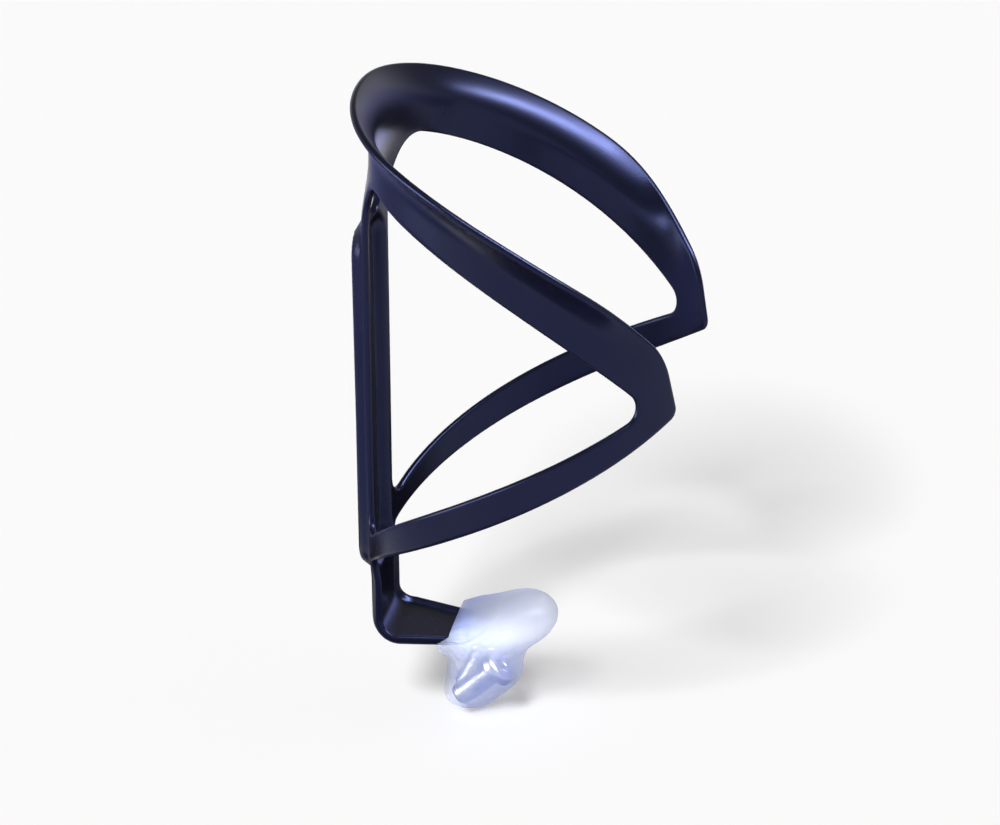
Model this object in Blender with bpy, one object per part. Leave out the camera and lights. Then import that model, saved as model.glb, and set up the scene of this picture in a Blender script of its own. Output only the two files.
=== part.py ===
"""Bottle cage for a bicycle: a one-piece moulded shell, with its two fixing bolts in a film bag on the foot.

Units are metres. +Z runs up along the bottle, the open front faces -Y and the bicycle frame is on the +Y side.
The origin is on the flat back of the mounting rail, midway between the two fixing slots.
"""
import math

import bmesh
import bpy
from mathutils import Matrix, Vector

MM = 0.001

# Shell
BOTTLE_RADIUS = 36.9 * MM
WALL = 1.5 * MM
AXIS_TO_FRAME = 39.8 * MM
MID_RADIUS = BOTTLE_RADIUS + WALL / 2

# Hoop: angles are measured round the bottle from the back
RIM_BACK_Z = 57.8 * MM
RIM_END_Z = 12.8 * MM
RIM_END_ANGLE = math.radians(135)
LIP_HEIGHT = 8.0 * MM
LIP_BACK_FLARE = 3.8 * MM
LIP_SIDE_FLARE = 5.4 * MM
NECK_RIDGE = 2.4 * MM
NECK_RIDGE_LOW_Z = 28.5 * MM
NECK_RIDGE_HIGH_Z = 46.5 * MM
NECK_RIDGE_ANGLE = math.radians(50)

# Window in each wing
WINDOW_BACK_Z = 44.8 * MM
WINDOW_POWER = 1.88
WINDOW_TIP_Z = 2.1 * MM
WINDOW_TIP_ANGLE = math.radians(129.3)
WINDOW_NECK_FILLET = 10.0 * MM
WINDOW_TIP_FILLET = 3.6 * MM
WINDOW_ROOT_FILLET = 3.0 * MM

# Front end of each wing
FRONT_LOW_ANGLE = math.radians(139.85)
FRONT_TOP_FILLET = 16.0 * MM
FRONT_LOW_FILLET = 2.5 * MM

# Lower arms: straight strips in the unrolled wing
ARM_ANGLE = math.radians(80)
ARM_Z = -17.75 * MM
ARM_CLIMB = math.radians(27.3)
ARM_HEIGHT = 7.5 * MM
ARM_END_HEIGHT = 6.2 * MM
ARM_HALF_ANGLE = math.radians(50)
ARM_ROOT_FILLET = 2.0 * MM

# Spine and mounting rail
SPINE_TOP_HALF_WIDTH = 10.6 * MM
SPINE_LOW_HALF_WIDTH = 9.8 * MM
SPINE_TOP_Z = 28.4 * MM
SPINE_LOW_Z = -34.0 * MM
SPINE_TO_TRAY_Z = -40.0 * MM
SPINE_TO_TRAY_LENGTH = 8.0 * MM
RAIL_TOP_Z = 29.4 * MM
RAIL_LOW_Z = -46.0 * MM
RAIL_HALF_WIDTH = 9.2 * MM
RAIL_CORNER = 6.0 * MM
RAIL_SIDE = 2.2 * MM

# Fixing slots
SLOT_SPACING = 64.0 * MM
TOP_SLOT = (11.5 * MM, 5.6 * MM)
LOW_SLOT = (5.4 * MM, 8.0 * MM)
SLOT_CUT_FRONT = 8.0 * MM
SLOT_CUT_BACK = 4.0 * MM

# Foot: a shallow tray that the spine bends into
FOOT_Z = -61.5 * MM
FOOT_BACK_Y = -2.65 * MM
FOOT_TIP_Y = -29.0 * MM
FOOT_HALF_WIDTH = 10.6 * MM
FOOT_TIP_HALF_WIDTH = 5.4 * MM
FOOT_TIP_LENGTH = 5.0 * MM
FOOT_SLOPE = math.radians(4.4)
BEND_RADIUS = 4.3 * MM
TRAY_RIM = 1.2 * MM
TRAY_RIM_WIDTH = 2.2 * MM

# Bolts: the middle of each head's outer face, one each side of the middle, and the tilt of its axis
BOLT_RADIUS = 2.5 * MM
BOLT_LENGTH = 10.0 * MM
BOLT_TIP_CHAMFER = 0.5 * MM
HEAD_RADIUS = 4.0 * MM
HEAD_HEIGHT = 2.2 * MM
HEAD_RIM = 1.0 * MM
HEAD_CROWN = 1.3 * MM
SOCKET_ACROSS_FLATS = 3.0 * MM
SOCKET_DEPTH = 1.5 * MM
BOLT_SPREAD = 3.55 * MM
BOLT_1_Y = -29.2 * MM
BOLT_1_Z = -67.2 * MM
BOLT_1_TILT = math.radians(40)
BOLT_2_Y = -25.5 * MM
BOLT_2_Z = -64.9 * MM
BOLT_2_TILT = math.radians(62)

# Bag: side view of its edges, from the mouth round the foot to the far seal
BAG_FILM = 0.3 * MM
BAG_MOUTH = [(-19.6, -57.0), (-18.6, -60.4), (-18.0, -64.2)]
BAG_UPPER_EDGE = [(-19.6, -57.0), (-24.1, -54.4), (-32.6, -51.4), (-38.4, -51.0)]
BAG_LOWER_EDGE = [(-18.0, -64.2), (-16.4, -71.0), (-15.8, -76.0), (-17.4, -79.1)]
BAG_SEAL = [(-38.4, -51.0), (-41.2, -55.5), (-39.9, -59.7), (-35.0, -64.0), (-33.4, -68.0),
            (-32.8, -71.6), (-29.2, -75.4), (-24.6, -78.6), (-17.4, -79.1)]
BAG_MOUTH_HALF_WIDTH = 9.0 * MM
BAG_HALF_WIDTH = 9.6 * MM

# Mesh density: ribs along each stretch of the wing, rows across it
BAND_RIBS = 26
FRONT_RIBS = 12
ARM_RIBS = 24
SPINE_RIBS = 24
NECK_RIBS = 9
CROWN_RIBS = 6
ROWS = (0.0, 0.1, 0.2, 0.3, 0.42, 0.56, 0.72, 0.86, 1.0)
FOOT_ROWS = 22
BAG_STEPS = 12


def smooth(t):
    """Smooth step from 0 to 1."""
    t = min(max(t, 0.0), 1.0)
    return t * t * (3 - 2 * t)


def mix(a, b, t):
    return a + (b - a) * t


def rim_z(angle):
    """Height of the hoop's top edge."""
    return mix(RIM_BACK_Z, RIM_END_Z, (angle / RIM_END_ANGLE) ** 2)


def window_z(angle):
    """Height of the window's upper edge."""
    return mix(WINDOW_BACK_Z, WINDOW_TIP_Z, (angle / WINDOW_TIP_ANGLE) ** WINDOW_POWER)


def arm_z(angle, side):
    """Height of the lower arm's upper edge (side 1) or lower edge (side -1)."""
    middle = ARM_Z + (angle - ARM_ANGLE) * MID_RADIUS * math.tan(ARM_CLIMB)
    height = mix(ARM_HEIGHT, ARM_END_HEIGHT, ((angle - ARM_ANGLE) / ARM_HALF_ANGLE) ** 2)
    return middle + side * height / 2


def arm_top_z(angle):
    return arm_z(angle, 1)


def arm_low_z(angle):
    return arm_z(angle, -1)


def spine_half_width(z):
    """Half the spine's width, widest at the neck."""
    share = (max(z, SPINE_LOW_Z) - SPINE_LOW_Z) / (SPINE_TOP_Z - SPINE_LOW_Z)
    return mix(SPINE_LOW_HALF_WIDTH, SPINE_TOP_HALF_WIDTH, share)


def spine_edge(z):
    """Point of the spine's edge in the unrolled wing."""
    return Vector((MID_RADIUS * math.asin(spine_half_width(z) / MID_RADIUS), z))


def hoop_lift(angle, z):
    """How far the hoop stands out from the bottle's cylinder: a flared lip, and a ridge inwards at the neck."""
    share = min(angle / RIM_END_ANGLE, 1.0)
    flare = mix(LIP_BACK_FLARE, LIP_SIDE_FLARE, smooth(share / 0.7)) * (1 - smooth((share - 0.72) / 0.28))
    lip = flare * max(0.0, 1 + (z - rim_z(angle)) / LIP_HEIGHT) ** 2
    ridge = smooth((z - NECK_RIDGE_LOW_Z) / (NECK_RIDGE_HIGH_Z - NECK_RIDGE_LOW_Z))
    return lip - NECK_RIDGE * ridge * (1 - smooth(angle / NECK_RIDGE_ANGLE))


def rail_share(x, z):
    """1 on the rail's flat back and 0 outside the rail, with round corners."""
    across = abs(x) - (RAIL_HALF_WIDTH - RAIL_CORNER)
    along = abs(z - (RAIL_TOP_Z + RAIL_LOW_Z) / 2) - ((RAIL_TOP_Z - RAIL_LOW_Z) / 2 - RAIL_CORNER)
    outside = math.hypot(max(across, 0), max(along, 0)) + min(max(across, along), 0)
    return smooth((RAIL_CORNER - outside) / RAIL_SIDE)


def tray_rise(inset):
    """Height of the tray's rim above its floor, by the distance from the tray's edge."""
    return TRAY_RIM * smooth(1 - inset / TRAY_RIM_WIDTH)


def spine_y(x, z):
    """Depth of the spine's middle surface."""
    curved = math.sqrt(MID_RADIUS ** 2 - x * x) - AXIS_TO_FRAME
    tray = FOOT_BACK_Y - WALL / 2 - tray_rise(spine_half_width(z) - abs(x))
    inside = 1 - smooth(abs(x) / spine_half_width(z) - 1)
    base = mix(curved, tray, inside * smooth((SPINE_TO_TRAY_Z - z) / SPINE_TO_TRAY_LENGTH))
    return mix(base, -WALL / 2, rail_share(x, z))


def wing_point(place):
    """Point on the shell's middle surface from its place in the unrolled wing."""
    angle = place.x / MID_RADIUS
    z = place.y
    radius = MID_RADIUS + hoop_lift(angle, z)
    x = radius * math.sin(angle)
    if angle < 0.5 and z < RAIL_TOP_Z:
        return Vector((x, spine_y(x, z), z))
    return Vector((x, radius * math.cos(angle) - AXIS_TO_FRAME, z))


def foot_point(across, share, start_z):
    """Point on the lower spine and foot: across is 0 at the middle and 1 at the edge."""
    middle = BEND_RADIUS + WALL / 2
    centre = Vector((0, FOOT_BACK_Y - WALL - BEND_RADIUS, FOOT_Z + WALL + BEND_RADIUS))
    bend_start = start_z - centre.z
    bend_end = bend_start + middle * math.pi / 2
    tip = bend_end + centre.y - FOOT_TIP_Y
    end = tip - FOOT_TIP_LENGTH * (1 - math.sqrt(1 - across * across))
    along = share * end
    past = max(along - bend_end, 0.0)
    widest = mix(SPINE_LOW_HALF_WIDTH, FOOT_HALF_WIDTH, smooth((along - bend_start) / (bend_end - bend_start)))
    half_width = mix(widest, FOOT_TIP_HALF_WIDTH, past / (tip - bend_end))
    x = across * half_width
    if along <= bend_start:
        return Vector((x, spine_y(x, start_z - along), start_z - along))
    turn = min((along - bend_start) / middle, math.pi / 2)
    radius = middle - tray_rise(min(half_width - x, end - along))
    drop = past * math.tan(FOOT_SLOPE)
    return Vector((x, centre.y + radius * math.cos(turn) - past, centre.z - radius * math.sin(turn) - drop))


def fillet(before, corner, after, radius, count=10):
    """Points of the arc that rounds a corner."""
    a = (before - corner).normalized()
    b = (after - corner).normalized()
    half = a.angle(b) / 2
    reach = radius / math.tan(half)
    centre = corner + (a + b).normalized() * radius / math.sin(half)
    start = corner + a * reach - centre
    end = corner + b * reach - centre
    return [centre + radius * start.slerp(end, i / count) for i in range(count + 1)]


def spaced(points, count):
    """The same polyline with its points evenly spaced."""
    lengths = [0.0]
    for a, b in zip(points, points[1:]):
        lengths.append(lengths[-1] + (b - a).length)
    result = []
    k = 0
    for i in range(count + 1):
        goal = lengths[-1] * i / count
        while k < len(points) - 2 and lengths[k + 1] < goal:
            k += 1
        result.append(points[k].lerp(points[k + 1], (goal - lengths[k]) / (lengths[k + 1] - lengths[k])))
    return result


def unrolled(height, angle):
    """Unrolled point of a height that is given by the angle."""
    return Vector((angle * MID_RADIUS, height(angle)))


def stretch(height, start, end):
    """Unrolled points of a height between two points on it."""
    return [unrolled(height, mix(start.x, end.x, i / 40) / MID_RADIUS) for i in range(41)]


def wing_stretches():
    """Matching stretches of the window's edge and of the wing's outer edge, then the spine's edge and middle."""
    spine_middle = spine_edge(0)
    # window edge
    neck_angle = spine_edge(WINDOW_BACK_Z).x / MID_RADIUS
    neck = fillet(spine_middle, unrolled(window_z, neck_angle), unrolled(window_z, 0.6), WINDOW_NECK_FILLET)
    before_tip = WINDOW_TIP_ANGLE - 0.15
    tip = fillet(unrolled(window_z, before_tip), unrolled(window_z, WINDOW_TIP_ANGLE),
                 unrolled(arm_top_z, before_tip), WINDOW_TIP_FILLET)
    root_angle = spine_edge(SPINE_LOW_Z).x / MID_RADIUS
    root = fillet(unrolled(arm_top_z, root_angle + 0.3), unrolled(arm_top_z, root_angle), spine_middle,
                  WINDOW_ROOT_FILLET)
    # outer edge
    rim_end = unrolled(rim_z, RIM_END_ANGLE)
    low_end = unrolled(arm_low_z, FRONT_LOW_ANGLE)
    brow = fillet(unrolled(rim_z, RIM_END_ANGLE - 0.1), rim_end, low_end, FRONT_TOP_FILLET)
    chin = fillet(rim_end, low_end, unrolled(arm_low_z, FRONT_LOW_ANGLE - 0.1), FRONT_LOW_FILLET)
    heel = unrolled(arm_low_z, root_angle)
    armpit = fillet(unrolled(arm_low_z, root_angle + 0.2), heel, heel - Vector((0, ARM_HEIGHT)), ARM_ROOT_FILLET)
    rim_split = unrolled(rim_z, 0.45)
    crown = unrolled(rim_z, 0.0)
    high = Vector((0, neck[0].y))
    spine = spaced([neck[0], root[-1]], SPINE_RIBS) + [root[-1].lerp(armpit[-1], row) for row in ROWS[1:]]
    return [
        (spaced(neck, NECK_RIBS + CROWN_RIBS),
         spaced([high, crown], NECK_RIBS)[:-1] + spaced(stretch(rim_z, crown, rim_split), CROWN_RIBS)),
        (spaced(stretch(window_z, neck[-1], tip[0]), BAND_RIBS),
         spaced(stretch(rim_z, rim_split, brow[0]), BAND_RIBS)),
        (spaced(tip, FRONT_RIBS), spaced(brow + chin, FRONT_RIBS)),
        (spaced(stretch(arm_top_z, tip[-1], root[0]) + root[1:], ARM_RIBS),
         spaced(stretch(arm_low_z, chin[-1], armpit[0]) + armpit[1:], ARM_RIBS)),
    ], (spine, [Vector((0, point.y)) for point in spine])


def half_shell():
    """Middle surface of the cage's half on the +X side."""
    stretches, spine = wing_stretches()
    wing = []
    for inner, outer in stretches:
        del wing[-1:]
        wing += [[wing_point(a.lerp(b, row)) for row in ROWS] for a, b in zip(inner, outer)]
    back = [[wing_point(a.lerp(b, row)) for row in ROWS] for a, b in zip(*spine)]
    for i in range(1, FOOT_ROWS + 1):
        back.append([foot_point(1 - row, i / FOOT_ROWS, spine[0][-1].y) for row in ROWS])
    mesh = bmesh.new()
    for grid in (wing, back):
        ribs = [[mesh.verts.new(point) for point in rib] for rib in grid]
        for a, b in zip(ribs, ribs[1:]):
            for i in range(len(ROWS) - 1):
                mesh.faces.new((a[i], a[i + 1], b[i + 1], b[i]))
    bmesh.ops.remove_doubles(mesh, verts=mesh.verts, dist=1e-6)
    bmesh.ops.recalc_face_normals(mesh, faces=mesh.faces)
    return mesh


def stadium(width, height, steps=8):
    """Outline of a slot with round ends."""
    radius = min(width, height) / 2
    side = Vector(((width / 2 - radius), (height / 2 - radius)))
    points = []
    for i in range(4 * steps):
        angle = 2 * math.pi * (i + 0.5) / (4 * steps)
        way = Vector((math.cos(angle), math.sin(angle)))
        points.append(Vector((math.copysign(side.x, way.x), math.copysign(side.y, way.y))) + radius * way)
    return points


def slot_cutter(name, size, z):
    """Prism through the wall, for a fixing slot."""
    mesh = bmesh.new()
    outline = stadium(*size)
    front = [mesh.verts.new((p.x, -SLOT_CUT_FRONT, z + p.y)) for p in outline]
    back = [mesh.verts.new((p.x, SLOT_CUT_BACK, z + p.y)) for p in outline]
    mesh.faces.new(front)
    mesh.faces.new(back[::-1])
    for i in range(len(outline)):
        j = (i + 1) % len(outline)
        mesh.faces.new((front[j], front[i], back[i], back[j]))
    bmesh.ops.recalc_face_normals(mesh, faces=mesh.faces)
    return add_object(name, mesh, None)


def revolved(profile, steps=24):
    """Closed solid from a profile of (radius, z) that starts and ends on the axis."""
    mesh = bmesh.new()
    rings = []
    for radius, z in profile:
        if radius == 0:
            rings.append([mesh.verts.new((0, 0, z))] * steps)
        else:
            turns = [2 * math.pi * i / steps for i in range(steps)]
            rings.append([mesh.verts.new((radius * math.cos(t), radius * math.sin(t), z)) for t in turns])
    for a, b in zip(rings, rings[1:]):
        for i in range(steps):
            j = (i + 1) % steps
            corners = list(dict.fromkeys((a[i], a[j], b[j], b[i])))
            mesh.faces.new(corners)
    bmesh.ops.recalc_face_normals(mesh, faces=mesh.faces)
    return mesh


def bolt(name, head, tilt, finish):
    """Low-head bolt with a hexagon socket, its head's outer face at the given point."""
    profile = [
        (0, 0),
        (HEAD_RADIUS - HEAD_CROWN, 0),
        (HEAD_RADIUS - HEAD_CROWN * 0.3, -(HEAD_HEIGHT - HEAD_RIM) * 0.5),
        (HEAD_RADIUS, -(HEAD_HEIGHT - HEAD_RIM)),
        (HEAD_RADIUS, -HEAD_HEIGHT),
        (BOLT_RADIUS, -HEAD_HEIGHT),
        (BOLT_RADIUS, -HEAD_HEIGHT - BOLT_LENGTH + BOLT_TIP_CHAMFER),
        (BOLT_RADIUS - BOLT_TIP_CHAMFER, -HEAD_HEIGHT - BOLT_LENGTH),
        (0, -HEAD_HEIGHT - BOLT_LENGTH),
    ]
    result = add_object(name, revolved(profile), finish)
    socket_radius = SOCKET_ACROSS_FLATS / 2 / math.cos(math.pi / 6)
    socket_profile = [
        (0, SOCKET_DEPTH),
        (socket_radius, SOCKET_DEPTH),
        (socket_radius, -SOCKET_DEPTH),
        (0, -SOCKET_DEPTH),
    ]
    socket = add_object(name + "_socket", revolved(socket_profile, steps=6), None)
    place = Matrix.Translation(head) @ Matrix.Rotation(math.pi / 2 - tilt, 4, "X")
    result.matrix_world = place
    socket.matrix_world = place
    cut(result, socket)
    return result


def bag_side(points, share):
    """Point along an edge of the bag in its side view."""
    return spaced([Vector(p) * MM for p in points], BAG_STEPS)[round(share * BAG_STEPS)]


def bag_mesh():
    """Pouch with an open mouth: two sheets that meet along its side edges and its seal."""
    mesh = bmesh.new()
    sheets = {}
    for i in range(BAG_STEPS + 1):
        u = i / BAG_STEPS
        upper = bag_side(BAG_UPPER_EDGE, u)
        lower = bag_side(BAG_LOWER_EDGE, u)
        for j in range(BAG_STEPS + 1):
            v = j / BAG_STEPS
            mouth = bag_side(BAG_MOUTH, v)
            seal = bag_side(BAG_SEAL, v)
            corners = (mix(mix(Vector(BAG_MOUTH[0]), Vector(BAG_MOUTH[-1]), v),
                           mix(Vector(BAG_SEAL[0]), Vector(BAG_SEAL[-1]), v), u)) * MM
            side = mix(mouth, seal, u) + mix(upper, lower, v) - corners
            half = mix(BAG_MOUTH_HALF_WIDTH, BAG_HALF_WIDTH, min(3 * u, 1)) * math.sqrt(1 - (2 * v - 1) ** 4)
            half *= math.sqrt(1 - u ** 6)
            for sign in (-1, 1):
                sheets[i, j, sign] = mesh.verts.new((sign * half, side.x, side.y))
    for i in range(BAG_STEPS):
        for j in range(BAG_STEPS):
            for sign in (-1, 1):
                mesh.faces.new([sheets[i + a, j + b, sign] for a, b in ((0, 0), (1, 0), (1, 1), (0, 1))][::sign])
    bmesh.ops.remove_doubles(mesh, verts=mesh.verts, dist=1e-6)
    bmesh.ops.recalc_face_normals(mesh, faces=mesh.faces)
    return mesh


def material(name, colour, roughness, metallic=0.0, alpha=1.0):
    """Plain Principled material."""
    result = bpy.data.materials.new(name)
    result.use_nodes = True
    shader = result.node_tree.nodes["Principled BSDF"]
    shader.inputs["Base Color"].default_value = (*colour, 1)
    shader.inputs["Roughness"].default_value = roughness
    shader.inputs["Metallic"].default_value = metallic
    shader.inputs["Alpha"].default_value = alpha
    return result


def add_object(name, mesh_data, finish):
    """Named object from a mesh; without a finish it is a cutter."""
    mesh = bpy.data.meshes.new(name)
    mesh_data.to_mesh(mesh)
    mesh_data.free()
    result = bpy.data.objects.new(name, mesh)
    bpy.context.collection.objects.link(result)
    if finish:
        mesh.materials.append(finish)
    else:
        result.hide_render = True
        result.display_type = "WIRE"
    return result


def cut(target, cutter):
    step = target.modifiers.new(cutter.name, "BOOLEAN")
    step.operation = "DIFFERENCE"
    step.solver = "EXACT"
    step.object = cutter


def thicken(target, thickness, offset):
    step = target.modifiers.new("wall", "SOLIDIFY")
    step.thickness = thickness
    step.offset = offset
    step.use_even_offset = offset == 0


def main():
    for old in list(bpy.data.objects):
        bpy.data.objects.remove(old, do_unlink=True)

    cage = add_object("cage_body", half_shell(), material("satin_composite", (0.018, 0.019, 0.035), 0.4))
    mirror = cage.modifiers.new("other_half", "MIRROR")
    mirror.merge_threshold = 1e-5
    thicken(cage, WALL, 0)
    cut(cage, slot_cutter("top_slot", TOP_SLOT, SLOT_SPACING / 2))
    cut(cage, slot_cutter("low_slot", LOW_SLOT, -SLOT_SPACING / 2))

    steel = material("plated_steel", (0.55, 0.55, 0.57), 0.3, metallic=1.0)
    bolt("bolt_1", Vector((-BOLT_SPREAD, BOLT_1_Y, BOLT_1_Z)), BOLT_1_TILT, steel)
    bolt("bolt_2", Vector((BOLT_SPREAD, BOLT_2_Y, BOLT_2_Z)), BOLT_2_TILT, steel)

    bag = add_object("bag", bag_mesh(), material("milky_film", (0.8, 0.84, 0.92), 0.35, alpha=0.5))
    thicken(bag, BAG_FILM, 1)


main()
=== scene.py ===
"""Dressed bottle cage: a moulded shell with round edges, threaded bolts and a creased film bag."""
import math

import bmesh
import bpy
from mathutils import Matrix, Vector, noise
from mathutils.geometry import intersect_point_line
from mathutils.kdtree import KDTree


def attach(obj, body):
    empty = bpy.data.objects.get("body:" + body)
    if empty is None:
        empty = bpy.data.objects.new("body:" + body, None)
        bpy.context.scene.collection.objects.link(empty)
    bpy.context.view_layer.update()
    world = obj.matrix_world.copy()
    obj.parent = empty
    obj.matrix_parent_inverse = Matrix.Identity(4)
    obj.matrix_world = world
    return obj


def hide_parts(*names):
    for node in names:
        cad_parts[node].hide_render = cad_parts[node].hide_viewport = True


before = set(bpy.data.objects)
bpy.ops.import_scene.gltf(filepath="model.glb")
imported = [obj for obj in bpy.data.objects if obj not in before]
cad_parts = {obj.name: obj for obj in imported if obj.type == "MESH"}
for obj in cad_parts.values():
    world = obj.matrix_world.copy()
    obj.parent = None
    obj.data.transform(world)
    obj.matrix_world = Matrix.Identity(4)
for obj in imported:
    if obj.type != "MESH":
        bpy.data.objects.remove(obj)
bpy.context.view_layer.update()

MM = 0.001

# Shell, as in the CAD model
BOTTLE_RADIUS = 36.9 * MM
WALL = 1.5 * MM
AXIS_TO_FRAME = 39.8 * MM
MID_RADIUS = BOTTLE_RADIUS + WALL / 2
EDGE_ROUND = 0.68 * MM

# Hoop: angles are measured round the bottle from the back
RIM_BACK_Z = 57.8 * MM
RIM_END_Z = 12.8 * MM
RIM_END_ANGLE = math.radians(135)
LIP_HEIGHT = 8.0 * MM
LIP_BACK_FLARE = 3.8 * MM
LIP_SIDE_FLARE = 5.4 * MM
LIP_FULL_SHARE = 0.7
LIP_FADE_SHARE = 0.72
NECK_RIDGE = 2.4 * MM
NECK_RIDGE_LOW_Z = 28.5 * MM
NECK_RIDGE_HIGH_Z = 46.5 * MM
NECK_RIDGE_ANGLE = math.radians(50)

# Window in each wing
WINDOW_BACK_Z = 44.8 * MM
WINDOW_POWER = 1.88
WINDOW_TIP_Z = 2.1 * MM
WINDOW_TIP_ANGLE = math.radians(129.3)
WINDOW_NECK_FILLET = 10.0 * MM
WINDOW_TIP_FILLET = 3.6 * MM
WINDOW_ROOT_FILLET = 3.0 * MM

# Front end of each wing
FRONT_LOW_ANGLE = math.radians(139.85)
FRONT_TOP_FILLET = 16.0 * MM
FRONT_LOW_FILLET = 2.5 * MM

# Lower arms: straight strips in the unrolled wing
ARM_ANGLE = math.radians(80)
ARM_Z = -17.75 * MM
ARM_CLIMB = math.radians(27.3)
ARM_HEIGHT = 7.5 * MM
ARM_END_HEIGHT = 6.2 * MM
ARM_HALF_ANGLE = math.radians(50)
ARM_ROOT_FILLET = 2.0 * MM

# Angles in radians: where the rim's ribs change, and how far off the lines point that a fillet joins
RIM_SPLIT_ANGLE = 0.45
NECK_LINE_ANGLE = 0.6
TIP_LINE_ANGLE = 0.15
ROOT_LINE_ANGLE = 0.3
FRONT_LINE_ANGLE = 0.1
ARMPIT_LINE_ANGLE = 0.2

# Spine and mounting rail
SPINE_TOP_HALF_WIDTH = 10.6 * MM
SPINE_LOW_HALF_WIDTH = 9.8 * MM
SPINE_TOP_Z = 28.4 * MM
SPINE_LOW_Z = -34.0 * MM
SPINE_TO_TRAY_Z = -40.0 * MM
SPINE_TO_TRAY_LENGTH = 8.0 * MM
RAIL_TOP_Z = 29.4 * MM
RAIL_LOW_Z = -46.0 * MM
RAIL_HALF_WIDTH = 9.2 * MM
RAIL_CORNER = 6.0 * MM
RAIL_SIDE = 2.2 * MM
BACK_ANGLE = 0.5

# Fixing slots
SLOT_SPACING = 64.0 * MM
TOP_SLOT = (11.5 * MM, 5.6 * MM)
LOW_SLOT = (5.4 * MM, 8.0 * MM)
SLOT_ROUND = 0.3 * MM
SLOT_CUT_DEPTH = 3 * WALL
SLOT_SIDES = 96

# Foot: a shallow tray that the spine bends into
FOOT_Z = -61.5 * MM
FOOT_BACK_Y = -2.65 * MM
FOOT_TIP_Y = -29.0 * MM
FOOT_HALF_WIDTH = 10.6 * MM
FOOT_TIP_HALF_WIDTH = 5.4 * MM
FOOT_TIP_LENGTH = 5.0 * MM
FOOT_SLOPE = math.radians(4.4)
BEND_RADIUS = 4.3 * MM
TRAY_RIM = 1.2 * MM
TRAY_RIM_WIDTH = 2.2 * MM

# Bolts
BOLT_RADIUS = 2.5 * MM
BOLT_LENGTH = 10.0 * MM
THREAD_PITCH = 0.8 * MM
THREAD_DEPTH = 0.45 * MM
THREAD_START = 0.5 * MM
THREAD_STEEPNESS = 1.35
THREAD_CREST = 0.1
TIP_CHAMFER = 0.55 * MM
TIP_SLOPE = 0.8
HEAD_RADIUS = 4.0 * MM
HEAD_HEIGHT = 2.2 * MM
HEAD_RIM = 1.0 * MM
HEAD_CROWN = 1.3 * MM
HEAD_DOME = 1.1 * HEAD_CROWN
HEAD_EDGE = 0.15 * MM
HEAD_FILLET = 0.2 * MM
HEAD_UNDERCUT = 0.1 * MM
SOCKET_ACROSS_FLATS = 3.0 * MM
SOCKET_DEPTH = 1.5 * MM
SOCKET_CONE = 0.25 * MM
SOCKET_CORNER = 0.05 * MM
SOCKET_MOUTH = 0.35 * MM
SOCKET_MOUTH_DEPTH = 0.18 * MM
SOCKET_LAND = 0.1 * MM
CLOSING_RADIUS = 0.05 * MM
BOLT_SIDES = 48
BOLTS = {
    "bolt_1": (Vector((-3.55, -29.2, -67.2)) * MM, math.radians(40)),
    "bolt_2": (Vector((3.55, -25.5, -64.9)) * MM, math.radians(62)),
}

# Bag: side view of its edges, from the mouth round the foot to the far seal
BAG_MOUTH = [(-19.6, -57.0), (-18.6, -60.4), (-18.0, -64.2)]
BAG_UPPER_EDGE = [(-19.6, -57.0), (-24.1, -54.4), (-32.6, -51.4), (-38.4, -51.0)]
BAG_LOWER_EDGE = [(-18.0, -64.2), (-16.4, -71.0), (-15.8, -76.0), (-17.4, -79.1)]
BAG_SEAL = [(-38.4, -51.0), (-41.2, -55.5), (-39.9, -59.7), (-35.0, -64.0), (-33.4, -68.0),
            (-32.8, -71.6), (-29.2, -75.4), (-24.6, -78.6), (-17.4, -79.1)]
BAG_MOUTH_HALF_WIDTH = 9.0 * MM
BAG_HALF_WIDTH = 9.6 * MM
BAG_STEPS = 96
BAG_MIDDLE = (-27.0, -66.0)
BAG_SLACK = 0.05
GATHER_DEPTH = 0.25 * MM
CREASE_DEPTH = 0.4 * MM
RUFFLE = 2.0 * MM
SECTION_POWER = 4
SEAL_POWER = 6
DENT_LIMIT = 0.25

# Film: where its look changes along the bag, from the first place of each pair to the second
# Painted light: the film's tone turns whiter towards the upper lobe, where the lobe is lit.
LOBE_PAINTED_LIGHT_Z = (-64.0 * MM, -59.0 * MM)
LOBE_PAINTED_LIGHT_Y = (-21.0 * MM, -30.0 * MM)
LOBE_COVER_Z = (-64.0 * MM, -60.0 * MM)
FOOT_COVER_Y = (-37.0 * MM, -29.0 * MM)
MOUTH_Y = (-21.5 * MM, -18.0 * MM)
BOLT_COVER = 0.42
LOBE_COVER = 0.55
FOOT_COVER = 0.92
EDGE_COVER = 0.75
MOUTH_COVER = 0.4
SHADOW_COVER = 0.3
FILM_BUMP = 0.15 * MM
GRAIN_DEPTH = 0.008 * MM

# Camera and stage
CAMERA_AZIMUTH = math.radians(-79.945)
CAMERA_ELEVATION = math.radians(21.615)
CAMERA_ROLL = math.radians(-0.732)
CAMERA_TARGET = Vector((-5.09, -29.75, -9.81)) * MM
CAMERA_DISTANCE = 891.4 * MM
CAMERA_LENS = 157.12
SENSOR_WIDTH = 36
FLOOR_Z = -79.6 * MM
FLOOR_HALF_SIZE = 6.0
FLOOR_GLOW = 0.3
KEY_WAY = Vector((-1.0, 0.25, 1.0))
KEY_LEVEL = 1.1
KEY_SPREAD = math.radians(16)
FLAG_RADIUS = 0.45
FLAG_X = 0.15
FLAG_TOP_Z = 0.08
FLAG_ANGLE = math.radians(115)
FLAG_STEPS = 32

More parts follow.
